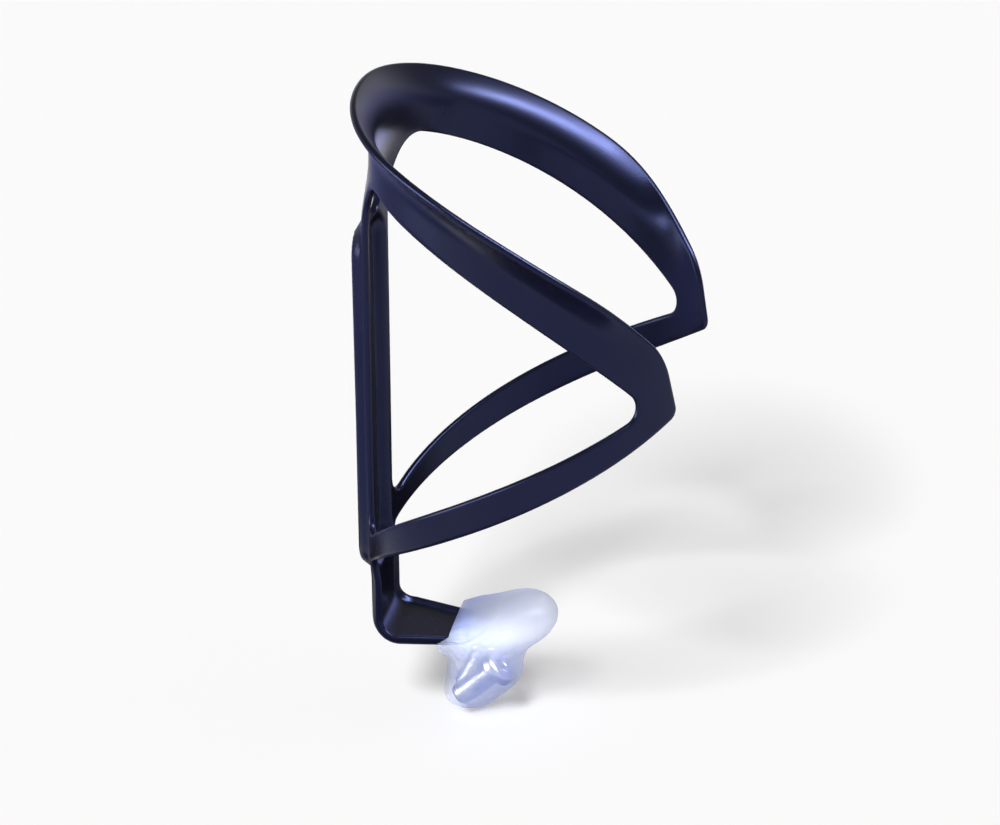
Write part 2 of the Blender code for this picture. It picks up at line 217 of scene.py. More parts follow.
# Lamps that only show in gloss: place, size, way that the length runs, power and colour
WHITE = (1.0, 1.0, 1.0)
GLOSS_LAMPS = {
    "strip": ((-0.023, -0.421, 0.473), (0.34, 0.07), (-0.58, 0.58, 0.58), 4.8, WHITE),
    "side_strip": ((-0.175, -0.2, 0.543), (0.38, 0.08), (-0.48, 0.88, 0.03), 2.6, WHITE),
    "end_card": ((-0.36, 0.38, 0.17), (0.16, 0.16), (1, 0, 0), 1.4, WHITE),
    "card": ((-0.18, 0.55, 0.06), (0.3, 0.3), (1, 0, 0), 1.7, WHITE),
    "neck_card": ((0.35, -0.06, -0.05), (0.28, 0.06), (0, 1, 0), 0.08, (0.3, 0.33, 1.0)),
}

# Felt on the floor that only shows in gloss: size, colour and place
ARC_FLAG_COLOUR = (0.3, 0.31, 0.6)
FLOOR_FLAGS = {
    "back_flag": (0.44, (0.25, 0.27, 0.6), (0.1, 0.31)),
    "far_flag": (0.24, (0.004, 0.004, 0.01), (0.15, -0.035)),
    "under_flag": (0.12, (0.08, 0.09, 0.22), (-0.04, -0.01)),
}

# Mesh density: ribs along each stretch of the wing, rows across it, steps in each rounding
NECK_RIBS = 36
CROWN_RIBS = 24
BAND_RIBS = 110
FRONT_RIBS = 56
ARM_RIBS = 100
SPINE_RIBS = 90
INNER_ROWS = 16
FOOT_ROWS = 70
EDGE_STEPS = 5
HEAD_STEPS = 8
THREAD_STEPS = 120
WELD_DISTANCE = 0.001 * MM
SHELL_SHARP_ANGLE = math.radians(50)
BOLT_SHARP_ANGLE = math.radians(40)


def smooth(t):
    """Smooth step from 0 to 1."""
    t = min(max(t, 0.0), 1.0)
    return t * t * (3 - 2 * t)


def mix(a, b, t):
    return a + (b - a) * t


def rim_z(angle):
    """Height of the hoop's top edge."""
    return mix(RIM_BACK_Z, RIM_END_Z, (angle / RIM_END_ANGLE) ** 2)


def window_z(angle):
    """Height of the window's upper edge."""
    return mix(WINDOW_BACK_Z, WINDOW_TIP_Z, (angle / WINDOW_TIP_ANGLE) ** WINDOW_POWER)


def arm_z(angle, side):
    """Height of the lower arm's upper edge (side 1) or lower edge (side -1)."""
    middle = ARM_Z + (angle - ARM_ANGLE) * MID_RADIUS * math.tan(ARM_CLIMB)
    height = mix(ARM_HEIGHT, ARM_END_HEIGHT, ((angle - ARM_ANGLE) / ARM_HALF_ANGLE) ** 2)
    return middle + side * height / 2


def arm_top_z(angle):
    return arm_z(angle, 1)


def arm_low_z(angle):
    return arm_z(angle, -1)


def spine_half_width(z):
    """Half the spine's width, widest at the neck."""
    share = (max(z, SPINE_LOW_Z) - SPINE_LOW_Z) / (SPINE_TOP_Z - SPINE_LOW_Z)
    return mix(SPINE_LOW_HALF_WIDTH, SPINE_TOP_HALF_WIDTH, share)


def spine_edge(z):
    """Point of the spine's edge in the unrolled wing."""
    return Vector((MID_RADIUS * math.asin(spine_half_width(z) / MID_RADIUS), z))


def hoop_lift(angle, z):
    """How far the hoop stands out from the bottle: a flared lip, and a ridge inwards at the neck."""
    share = min(angle / RIM_END_ANGLE, 1.0)
    flare = mix(LIP_BACK_FLARE, LIP_SIDE_FLARE, smooth(share / LIP_FULL_SHARE))
    flare *= 1 - smooth((share - LIP_FADE_SHARE) / (1 - LIP_FADE_SHARE))
    lip = flare * max(0.0, 1 + (z - rim_z(angle)) / LIP_HEIGHT) ** 2
    ridge = smooth((z - NECK_RIDGE_LOW_Z) / (NECK_RIDGE_HIGH_Z - NECK_RIDGE_LOW_Z))
    return lip - NECK_RIDGE * ridge * (1 - smooth(angle / NECK_RIDGE_ANGLE))


def rail_share(x, z):
    """1 on the rail's flat back and 0 outside the rail, with round corners."""
    across = abs(x) - (RAIL_HALF_WIDTH - RAIL_CORNER)
    along = abs(z - (RAIL_TOP_Z + RAIL_LOW_Z) / 2) - ((RAIL_TOP_Z - RAIL_LOW_Z) / 2 - RAIL_CORNER)
    outside = math.hypot(max(across, 0), max(along, 0)) + min(max(across, along), 0)
    return smooth((RAIL_CORNER - outside) / RAIL_SIDE)


def tray_rise(inset):
    """Height of the tray's rim above its floor, by the distance from the tray's edge."""
    return TRAY_RIM * smooth(1 - inset / TRAY_RIM_WIDTH)


def spine_y(x, z):
    """Depth of the spine's middle surface."""
    curved = math.sqrt(MID_RADIUS ** 2 - x * x) - AXIS_TO_FRAME
    tray = FOOT_BACK_Y - WALL / 2 - tray_rise(spine_half_width(z) - abs(x))
    inside = 1 - smooth(abs(x) / spine_half_width(z) - 1)
    base = mix(curved, tray, inside * smooth((SPINE_TO_TRAY_Z - z) / SPINE_TO_TRAY_LENGTH))
    return mix(base, -WALL / 2, rail_share(x, z))


def wing_point(place):
    """Point on the shell's middle surface from its place in the unrolled wing."""
    angle = place.x / MID_RADIUS
    z = place.y
    radius = MID_RADIUS + hoop_lift(angle, z)
    x = radius * math.sin(angle)
    if angle < BACK_ANGLE and z < RAIL_TOP_Z:
        return Vector((x, spine_y(x, z), z))
    return Vector((x, radius * math.cos(angle) - AXIS_TO_FRAME, z))


def foot_point(across, share, start_z):
    """Point on the lower spine and foot: across is 0 at the middle and 1 at the edge."""
    middle = BEND_RADIUS + WALL / 2
    centre = Vector((0, FOOT_BACK_Y - WALL - BEND_RADIUS, FOOT_Z + WALL + BEND_RADIUS))
    bend_start = start_z - centre.z
    bend_end = bend_start + middle * math.pi / 2
    tip = bend_end + centre.y - FOOT_TIP_Y
    end = tip - FOOT_TIP_LENGTH * (1 - math.sqrt(1 - across * across))
    along = share * end
    past = max(along - bend_end, 0.0)
    widening = smooth((along - bend_start) / (bend_end - bend_start))
    widest = mix(SPINE_LOW_HALF_WIDTH, FOOT_HALF_WIDTH, widening)
    half_width = mix(widest, FOOT_TIP_HALF_WIDTH, past / (tip - bend_end))
    x = across * half_width
    if along <= bend_start:
        return Vector((x, spine_y(x, start_z - along), start_z - along))
    turn = min((along - bend_start) / middle, math.pi / 2)
    radius = middle - tray_rise(min(half_width - x, end - along))
    drop = past * math.tan(FOOT_SLOPE)
    y = centre.y + radius * math.cos(turn) - past
    return Vector((x, y, centre.z - radius * math.sin(turn) - drop))


def fillet(before, corner, after, radius, count=24):
    """Points of the arc that rounds a corner."""
    a = (before - corner).normalized()
    b = (after - corner).normalized()
    half = a.angle(b) / 2
    reach = radius / math.tan(half)
    centre = corner + (a + b).normalized() * radius / math.sin(half)
    start = corner + a * reach - centre
    end = corner + b * reach - centre
    return [centre + radius * start.slerp(end, i / count) for i in range(count + 1)]


def spaced(points, count):
    """The same polyline with its points evenly spaced."""
    lengths = [0.0]
    for a, b in zip(points, points[1:]):
        lengths.append(lengths[-1] + (b - a).length)
    result = []
    k = 0
    for i in range(count + 1):
        goal = lengths[-1] * i / count
        while k < len(points) - 2 and lengths[k + 1] < goal:
            k += 1
        result.append(points[k].lerp(points[k + 1], (goal - lengths[k]) / (lengths[k + 1] - lengths[k])))
    return result


def unrolled(height, angle):
    """Unrolled point of a height that is given by the angle."""
    return Vector((angle * MID_RADIUS, height(angle)))


def stretch(height, start, end, count=160):
    """Unrolled points of a height between two points on it."""
    return [unrolled(height, mix(start.x, end.x, i / count) / MID_RADIUS) for i in range(count + 1)]


def wing_stretches():
    """Matching stretches of the window's and the wing's outer edge, then the spine's edge and middle."""
    spine_middle = spine_edge(0)
    # window edge
    neck_angle = spine_edge(WINDOW_BACK_Z).x / MID_RADIUS
    neck = fillet(spine_middle, unrolled(window_z, neck_angle), unrolled(window_z, NECK_LINE_ANGLE),
                  WINDOW_NECK_FILLET)
    before_tip = WINDOW_TIP_ANGLE - TIP_LINE_ANGLE
    tip = fillet(unrolled(window_z, before_tip), unrolled(window_z, WINDOW_TIP_ANGLE),
                 unrolled(arm_top_z, before_tip), WINDOW_TIP_FILLET)
    root_angle = spine_edge(SPINE_LOW_Z).x / MID_RADIUS
    root = fillet(unrolled(arm_top_z, root_angle + ROOT_LINE_ANGLE), unrolled(arm_top_z, root_angle),
                  spine_middle, WINDOW_ROOT_FILLET)
    # outer edge
    rim_end = unrolled(rim_z, RIM_END_ANGLE)
    low_end = unrolled(arm_low_z, FRONT_LOW_ANGLE)
    before_brow = unrolled(rim_z, RIM_END_ANGLE - FRONT_LINE_ANGLE)
    brow = fillet(before_brow, rim_end, low_end, FRONT_TOP_FILLET)
    after_chin = unrolled(arm_low_z, FRONT_LOW_ANGLE - FRONT_LINE_ANGLE)
    chin = fillet(rim_end, low_end, after_chin, FRONT_LOW_FILLET)
    heel = unrolled(arm_low_z, root_angle)
    before_heel = unrolled(arm_low_z, root_angle + ARMPIT_LINE_ANGLE)
    armpit = fillet(before_heel, heel, heel - Vector((0, ARM_HEIGHT)), ARM_ROOT_FILLET)
    rim_split = unrolled(rim_z, RIM_SPLIT_ANGLE)
    crown = unrolled(rim_z, 0.0)
    below_crown = crown - Vector((0, EDGE_ROUND))
    crown_points = [crown - Vector((0, row)) for row in edge_rows(1.0)[EDGE_STEPS - 1:0:-1]]
    high = Vector((0, neck[0].y))
    spine = spaced([neck[0], root[-1]], SPINE_RIBS) + rib_points(root[-1], armpit[-1])[1:]
    return [
        (spaced(neck, NECK_RIBS + CROWN_RIBS),
         spaced([high, below_crown], NECK_RIBS - EDGE_STEPS) + crown_points
         + spaced(stretch(rim_z, crown, rim_split), CROWN_RIBS)),
        (spaced(stretch(window_z, neck[-1], tip[0]), BAND_RIBS),
         spaced(stretch(rim_z, rim_split, brow[0]), BAND_RIBS)),
        (spaced(tip, FRONT_RIBS), spaced(brow + chin, FRONT_RIBS)),
        (spaced(stretch(arm_top_z, tip[-1], root[0]) + root[1:], ARM_RIBS),
         spaced(stretch(arm_low_z, chin[-1], armpit[0]) + armpit[1:], ARM_RIBS)),
    ], (spine, [Vector((0, point.y)) for point in spine])


def edge_rows(length):
    """Places from 0 on, as shares of a length, where the rounding of an edge needs a row."""
    turns = [math.pi / 2 * k / EDGE_STEPS for k in range(EDGE_STEPS + 1)]
    return [EDGE_ROUND * (1 - math.cos(turn)) / length for turn in turns]


def rib_rows(length):
    """Places across a rib from 0 to 1, close together in the rounding at its two ends."""
    edge = edge_rows(length)
    inner = [mix(edge[-1], 1 - edge[-1], k / INNER_ROWS) for k in range(1, INNER_ROWS)]
    return edge + inner + [1 - row for row in reversed(edge)]


def rib_points(a, b):
    """Unrolled points across a rib."""
    return [a.lerp(b, row) for row in rib_rows((b - a).length)]


def middle_surface():
    """Middle surface of the whole cage."""
    stretches, (spine, middle) = wing_stretches()
    wing = []
    for inner, outer in stretches:
        del wing[-1:]
        wing += [[wing_point(p) for p in rib_points(a, b)] for a, b in zip(inner, outer)]
    back = [[wing_point(p) for p in rib_points(a, b)] for a, b in zip(spine, middle)]
    start_z = spine[-1].y
    foot_length = start_z - FOOT_TIP_Y - FOOT_Z
    tip = [1 - row for row in reversed(edge_rows(foot_length))]
    shares = [tip[0] * i / FOOT_ROWS for i in range(1, FOOT_ROWS)] + tip
    rows = rib_rows(spine[-1].x)
    back += [[foot_point(1 - row, share, start_z) for row in rows] for share in shares]
    mesh = bmesh.new()
    for grid in (wing, back):
        add_grid(mesh, grid)
    mirrored = bmesh.ops.duplicate(mesh, geom=mesh.verts[:] + mesh.edges[:] + mesh.faces[:])["geom"]
    for item in mirrored:
        if isinstance(item, bmesh.types.BMVert):
            item.co.x = -item.co.x
    bmesh.ops.remove_doubles(mesh, verts=mesh.verts, dist=WELD_DISTANCE)
    bmesh.ops.recalc_face_normals(mesh, faces=mesh.faces)
    return mesh


def border_distance(point, vert):
    """Distance from a point to the free edges that meet at a border vertex."""
    nearest = (point - vert.co).length
    for edge in vert.link_edges:
        if edge.is_boundary:
            foot, share = intersect_point_line(point, edge.verts[0].co, edge.verts[1].co)
            if 0 <= share <= 1:
                nearest = min(nearest, (point - foot).length)
    return nearest


def half_wall(distance):
    """Half the wall's thickness, which falls off in an arc at a free edge."""
    if distance >= EDGE_ROUND:
        return WALL / 2
    return WALL / 2 - EDGE_ROUND + math.sqrt(EDGE_ROUND ** 2 - (EDGE_ROUND - distance) ** 2)


def round_wall(middle):
    """Solid wall about a middle surface, with its free edges rounded."""
    middle.normal_update()
    middle.verts.ensure_lookup_table()
    border = [vert for vert in middle.verts if vert.is_boundary]
    tree = KDTree(len(border))
    for i, vert in enumerate(border):
        tree.insert(vert.co, i)
    tree.balance()
    mesh = bmesh.new()
    sides = []
    for vert in middle.verts:
        _, i, reach = tree.find(vert.co)
        half = WALL / 2 if reach > 3 * EDGE_ROUND else half_wall(border_distance(vert.co, border[i]))
        sides.append([mesh.verts.new(vert.co + side * half * vert.normal) for side in (1, -1)])
    for face in middle.faces:
        corners = [sides[vert.index] for vert in face.verts]
        mesh.faces.new([pair[0] for pair in corners])
        mesh.faces.new([pair[1] for pair in reversed(corners)])
    for edge in middle.edges:
        if edge.is_boundary:
            a, b = (sides[vert.index] for vert in edge.verts)
            mesh.faces.new((a[0], a[1], b[1], b[0]))
    bmesh.ops.recalc_face_normals(mesh, faces=mesh.faces)
    middle.free()
    return mesh


def add_grid(mesh, grid, closed=False):
    """Quads between neighbouring rows of points."""
    rows = [[mesh.verts.new(point) for point in row] for row in grid]
    for a, b in zip(rows, rows[1:]):
        count = len(a)
        for i in range(count if closed else count - 1):
            j = (i + 1) % count
            mesh.faces.new((a[i], a[j], b[j], b[i]))
    return rows


def back_y(x, z):
    """Depth of the cage's middle surface at its back."""
    return wing_point(Vector((MID_RADIUS * math.asin(abs(x) / MID_RADIUS), z))).y


def slot_outline(size, grow):
    """Outline of a slot with round ends, made larger all round."""
    width, height = size
    radius = min(width, height) / 2
    points = []
    for i in range(SLOT_SIDES):
        angle = 2 * math.pi * (i + 0.5) / SLOT_SIDES
        way = Vector((math.cos(angle), math.sin(angle)))
        centre = Vector((math.copysign(width / 2 - radius, way.x),
                         math.copysign(height / 2 - radius, way.y)))
        points.append(centre + (radius + grow) * way)
    return points


def slot_cutter(name, size, z):
    """Cutter for a fixing slot, which rounds the slot's rim on both faces of the wall."""
    steps = [k * math.pi / 2 / EDGE_STEPS for k in range(EDGE_STEPS + 1)]
    rim = [(SLOT_ROUND * (1 - math.sin(a)), WALL / 2 - SLOT_ROUND * (1 - math.cos(a))) for a in steps]
    outside = [(2 * SLOT_ROUND, SLOT_CUT_DEPTH), (1.3 * SLOT_ROUND, WALL / 2 + 0.2 * SLOT_ROUND)]
    front = outside + rim[1:]
    profile = front + [(grow, -depth) for grow, depth in reversed(front)]
    rings = []
    for grow, depth in profile:
        outline = slot_outline(size, grow)
        rings.append([Vector((p.x, back_y(p.x, z + p.y) + depth, z + p.y)) for p in outline])
    mesh = bmesh.new()
    rows = add_grid(mesh, rings, closed=True)
    mesh.faces.new(rows[0])
    mesh.faces.new(rows[-1])
    bmesh.ops.recalc_face_normals(mesh, faces=mesh.faces)
    return add_object(name, mesh)


def add_object(name, mesh_data, finish=None):
    """Named object from a mesh."""
    mesh = bpy.data.meshes.new(name)
    mesh_data.to_mesh(mesh)
    mesh_data.free()
    result = bpy.data.objects.new(name, mesh)
    bpy.context.collection.objects.link(result)
    if finish:
        mesh.materials.append(finish)
    return result


def settle(piece, angle):
    """Replaces a piece's mesh by what its modifiers make of it, smooth but for edges over an angle."""
    graph = bpy.context.evaluated_depsgraph_get()
    mesh = bpy.data.meshes.new_from_object(piece.evaluated_get(graph))
    piece.modifiers.clear()
    piece.data = mesh
    mesh.shade_smooth()
    mesh.set_sharp_from_angle(angle=angle)


def make_shell(finish):
    """The cage: one moulded wall with round edges and two fixing slots."""
    shell = add_object("cage_shell", round_wall(middle_surface()), finish)
    cutters = [
        slot_cutter("top_slot", TOP_SLOT, SLOT_SPACING / 2),
        slot_cutter("low_slot", LOW_SLOT, -SLOT_SPACING / 2),
    ]
    for cutter in cutters:
        step = shell.modifiers.new(cutter.name, "BOOLEAN")
        step.operation = "DIFFERENCE"
        step.solver = "EXACT"
        step.object = cutter
    settle(shell, SHELL_SHARP_ANGLE)
    for cutter in cutters:
        bpy.data.objects.remove(cutter, do_unlink=True)
    return shell


def hexagon(turn, radius):
    """Distance from the middle of a hexagon to its edge."""
    return radius / math.cos((turn + math.pi / 6) % (math.pi / 3) - math.pi / 6)


def bolt_ring(radius, z):
    """Ring of points round a bolt's axis, the radius given for each turn."""
    turns = [2 * math.pi * i / BOLT_SIDES for i in range(BOLT_SIDES)]
    return [Vector((radius(turn) * math.cos(turn), radius(turn) * math.sin(turn), z)) for turn in turns]


def round_ring(radius, z):
    return bolt_ring(lambda turn: radius, z)


def socket_ring(radius, z):
    return bolt_ring(lambda turn: hexagon(turn, radius), z)


def thread_radius(turn, z):
    """Radius of the threaded shaft, which runs in from plain under the head and tapers at the tip."""
    to_tip = BOLT_LENGTH + HEAD_HEIGHT + z
    lead = min(1.0, (BOLT_LENGTH - to_tip - THREAD_START) / THREAD_PITCH)
    phase = (z / THREAD_PITCH - turn / (2 * math.pi)) % 1.0
    groove = min(1.0, max(0.0, THREAD_STEEPNESS * (1 - abs(2 * phase - 1)) - THREAD_CREST))
    return min(BOLT_RADIUS - THREAD_DEPTH * groove * lead, BOLT_RADIUS - TIP_CHAMFER + TIP_SLOPE * to_tip)


def make_bolt(name, head, tilt, finish):
    """Low-head bolt with a hexagon socket and a cut thread."""
    flat = SOCKET_ACROSS_FLATS / 2
    rings = [
        round_ring(CLOSING_RADIUS, -SOCKET_DEPTH - SOCKET_CONE),
        socket_ring(flat - SOCKET_CORNER, -SOCKET_DEPTH),
        socket_ring(flat, -SOCKET_DEPTH + SOCKET_CORNER),
        socket_ring(flat, -SOCKET_MOUTH_DEPTH),
        round_ring(flat + SOCKET_MOUTH, 0),
        round_ring(flat + SOCKET_MOUTH + SOCKET_LAND, 0),
    ]
    shoulder = HEAD_HEIGHT - HEAD_RIM
    for i in range(HEAD_STEPS + 1):
        turn = i / HEAD_STEPS * math.pi / 2
        radius = mix(HEAD_RADIUS - HEAD_DOME, HEAD_RADIUS, math.sin(turn))
        rings.append(round_ring(radius, -shoulder * (1 - math.cos(turn))))
    rings += [
        round_ring(HEAD_RADIUS, -HEAD_HEIGHT + HEAD_EDGE),
        round_ring(HEAD_RADIUS - HEAD_EDGE, -HEAD_HEIGHT),
        round_ring(BOLT_RADIUS + HEAD_FILLET, -HEAD_HEIGHT),
        round_ring(BOLT_RADIUS - HEAD_UNDERCUT, -HEAD_HEIGHT - HEAD_FILLET),
    ]
    for i in range(THREAD_STEPS + 1):
        z = -HEAD_HEIGHT - mix(THREAD_START, BOLT_LENGTH, i / THREAD_STEPS)
        rings.append(bolt_ring(lambda turn: thread_radius(turn, z), z))
    rings.append(round_ring(CLOSING_RADIUS, -HEAD_HEIGHT - BOLT_LENGTH))
    mesh = bmesh.new()
    rows = add_grid(mesh, rings, closed=True)
    mesh.faces.new(rows[0])
    mesh.faces.new(rows[-1])
    bmesh.ops.recalc_face_normals(mesh, faces=mesh.faces)
    seat = Matrix.Translation(head) @ Matrix.Rotation(math.pi / 2 - tilt, 4, "X")
    bmesh.ops.transform(mesh, matrix=seat, verts=mesh.verts)
    bolt = add_object(name, mesh, finish)
    bolt.data.shade_smooth()
    bolt.data.set_sharp_from_angle(angle=BOLT_SHARP_ANGLE)
    return bolt


def smooth_edge(points, count):
    """Evenly spaced points on a curve through the given ones."""
    line = [Vector(p) * MM for p in points]
    ends = [2 * line[0] - line[1]] + line + [2 * line[-1] - line[-2]]
    dense = []
    for a, b, c, d in zip(ends, ends[1:], ends[2:], ends[3:]):
        for i in range(12):
            t = i / 12
            dense.append(0.5 * (2 * b + (c - a) * t + (2 * a - 5 * b + 4 * c - d) * t ** 2
                                + (3 * b - a - 3 * c + d) * t ** 3))
    return spaced(dense + [line[-1]], count)


def ridge(place):
    """1 on the crest of a crease and 0 well away from it."""
    return (1 - min(abs(noise.noise(place)) * 2.2, 1)) ** 3


def film_dent(u, v, sign):
    """How far the film is pulled in: gathers that run back from the mouth, and creases that cross."""
    gather = 0.5 + 0.5 * noise.noise(Vector((1.6 * u, 13 * v, 5.0 * sign)))
    crease = ridge(Vector((3.2 * u + 1.5 * v, 4.5 * v, 7.0 * sign)))
    fine = ridge(Vector((7 * u - 4 * v, 8 * v + 2 * u, 3.0 * sign)))
    taut = smooth((u - 0.3) / 0.35) * smooth((0.8 - v) / 0.4)
    slack_dent = GATHER_DEPTH * gather * (1 - 0.6 * u) + CREASE_DEPTH * (0.7 * crease + 0.3 * fine)
    return slack_dent * (1 - 0.8 * taut)


def mouth_frill(u, v):
    """1 where the mouth's edge ruffles, low on the bag, and 0 away from there."""
    return smooth((v - 0.3) / 0.25) * smooth((0.95 - v) / 0.2) * (1 - smooth(u / 0.12))


def make_bag(finish):
    """Film pouch, slack inside its CAD solid, with gathers, creases and a ruffle at its mouth."""
    upper = smooth_edge(BAG_UPPER_EDGE, BAG_STEPS)
    lower = smooth_edge(BAG_LOWER_EDGE, BAG_STEPS)
    mouth = smooth_edge(BAG_MOUTH, BAG_STEPS)
    seal = smooth_edge(BAG_SEAL, BAG_STEPS)
    middle = Vector(BAG_MIDDLE) * MM
    mesh = bmesh.new()
    for sign in (-1, 1):
        grid = []
        for i in range(BAG_STEPS + 1):
            u = i / BAG_STEPS
            row = []
            for j in range(BAG_STEPS + 1):
                v = j / BAG_STEPS
                corners = mix(mix(mouth[0], mouth[-1], v), mix(seal[0], seal[-1], v), u)
                side = mix(mouth[j], seal[j], u) + mix(upper[i], lower[i], v) - corners
                side = mix(side, middle, BAG_SLACK * smooth(2 * u))
                full = math.sqrt(1 - (2 * v - 1) ** SECTION_POWER) * math.sqrt(1 - u ** SEAL_POWER)
                half = mix(BAG_MOUTH_HALF_WIDTH, BAG_HALF_WIDTH, min(3 * u, 1)) * full
                half -= min(film_dent(u, v, sign), DENT_LIMIT * half)
                if sign < 0:
                    frill = mouth_frill(u, v)
                    side.x += RUFFLE * frill * (0.75 + 0.5 * noise.noise(Vector((40 * v, 0, 0))))
                    half += 0.3 * RUFFLE * frill * noise.noise(Vector((30 * v, 5 * u, 9.0)))
                row.append(Vector((sign * half, side.x, side.y)))
            grid.append(row)
        add_grid(mesh, grid)
    bmesh.ops.remove_doubles(mesh, verts=mesh.verts, dist=WELD_DISTANCE)
    bmesh.ops.recalc_face_normals(mesh, faces=mesh.faces)
    bag = add_object("film_bag", mesh, finish)
    bag.data.shade_smooth()
    return bag


def new_material(name):
    """Empty Principled material with its nodes and links."""
    result = bpy.data.materials.new(name)
    result.use_nodes = True
    return result, result.node_tree, result.node_tree.nodes["Principled BSDF"]


def grain_group():
    """Fine moulded or machined grain: roughness and bump height from two sizes of noise."""
    group = bpy.data.node_groups.new("fine_grain", "ShaderNodeTree")
    for name, value in (("Scale", 2000.0), ("Roughness", 0.4), ("Variation", 0.1)):
        socket = group.interface.new_socket(name, in_out="INPUT", socket_type="NodeSocketFloat")
        socket.default_value = value
    for name in ("Roughness", "Height"):
        group.interface.new_socket(name, in_out="OUTPUT", socket_type="NodeSocketFloat")
    nodes = group.nodes
    start = nodes.new("NodeGroupInput")
    end = nodes.new("NodeGroupOutput")
    place = nodes.new("ShaderNodeTexCoord")
    fine = nodes.new("ShaderNodeTexNoise")
    fine.inputs["Detail"].default_value = 3
    broad = nodes.new("ShaderNodeTexNoise")
    broad.inputs["Scale"].default_value = 60
    centred = nodes.new("ShaderNodeMath")
    centred.operation = "SUBTRACT"
    centred.inputs[1].default_value = 0.5
    rough = nodes.new("ShaderNodeMath")
    rough.operation = "MULTIPLY_ADD"
    link = group.links.new
    link(place.outputs["Object"], fine.inputs["Vector"])
    link(place.outputs["Object"], broad.inputs["Vector"])
    link(start.outputs["Scale"], fine.inputs["Scale"])
    link(broad.outputs["Fac"], centred.inputs[0])
    link(centred.outputs[0], rough.inputs[0])
    link(start.outputs["Variation"], rough.inputs[1])
    link(start.outputs["Roughness"], rough.inputs[2])
    link(rough.outputs[0], end.inputs["Roughness"])
    link(fine.outputs["Fac"], end.inputs["Height"])
    return group


def add_grain(tree, shader, group, scale, roughness, variation):
    """Puts the grain on a material."""
    grain = tree.nodes.new("ShaderNodeGroup")
    grain.node_tree = group
    grain.inputs["Scale"].default_value = scale
    grain.inputs["Roughness"].default_value = roughness
    grain.inputs["Variation"].default_value = variation
    bump = tree.nodes.new("ShaderNodeBump")
    bump.inputs["Strength"].default_value = 1.0
    bump.inputs["Distance"].default_value = GRAIN_DEPTH
    tree.links.new(grain.outputs["Roughness"], shader.inputs["Roughness"])
    tree.links.new(grain.outputs["Height"], bump.inputs["Height"])
    tree.links.new(bump.outputs["Normal"], shader.inputs["Normal"])


def composite_material(group):
    """Satin dark blue-black moulding compound."""
    result, tree, shader = new_material("satin_composite_look")
    place = tree.nodes.new("ShaderNodeTexCoord")
    mottle = tree.nodes.new("ShaderNodeTexNoise")
    mottle.inputs["Scale"].default_value = 90
    mottle.inputs["Detail"].default_value = 4
    tone = tree.nodes.new("ShaderNodeValToRGB")
    tone.color_ramp.elements[0].position = 0.3
    tone.color_ramp.elements[0].color = (0.0030, 0.0031, 0.0080, 1)
    tone.color_ramp.elements[1].position = 0.75
    tone.color_ramp.elements[1].color = (0.0042, 0.0044, 0.0110, 1)
    tree.links.new(place.outputs["Object"], mottle.inputs["Vector"])
    tree.links.new(mottle.outputs["Fac"], tone.inputs["Fac"])
    tree.links.new(tone.outputs["Color"], shader.inputs["Base Color"])
    shader.inputs["Specular IOR Level"].default_value = 0.5
    shader.inputs["Specular Tint"].default_value = (0.31, 0.38, 0.95, 1)
    add_grain(tree, shader, group, 3500, 0.29, 0.1)
    return result


def steel_material(group):
    """Bright plated steel."""
    result, tree, shader = new_material("plated_steel_look")
    shader.inputs["Base Color"].default_value = (0.76, 0.77, 0.82, 1)
    shader.inputs["Metallic"].default_value = 1.0
    add_grain(tree, shader, group, 1500, 0.34, 0.1)
    return result


def map_range(tree, value, start, end):
    """Value mapped from one range to another, each given as a pair."""
    node = tree.nodes.new("ShaderNodeMapRange")
    node.inputs["From Min"].default_value, node.inputs["From Max"].default_value = start
    node.inputs["To Min"].default_value, node.inputs["To Max"].default_value = end
    tree.links.new(value, node.inputs["Value"])
    return node


def combine(tree, operation, a, b):
    """Result of an operation on two values, the second either a socket or a number."""
    node = tree.nodes.new("ShaderNodeMath")
    node.operation = operation
    tree.links.new(a, node.inputs[0])
    if isinstance(b, float):
        node.inputs[1].default_value = b
    else:
        tree.links.new(b, node.inputs[1])
    return node.outputs[0]


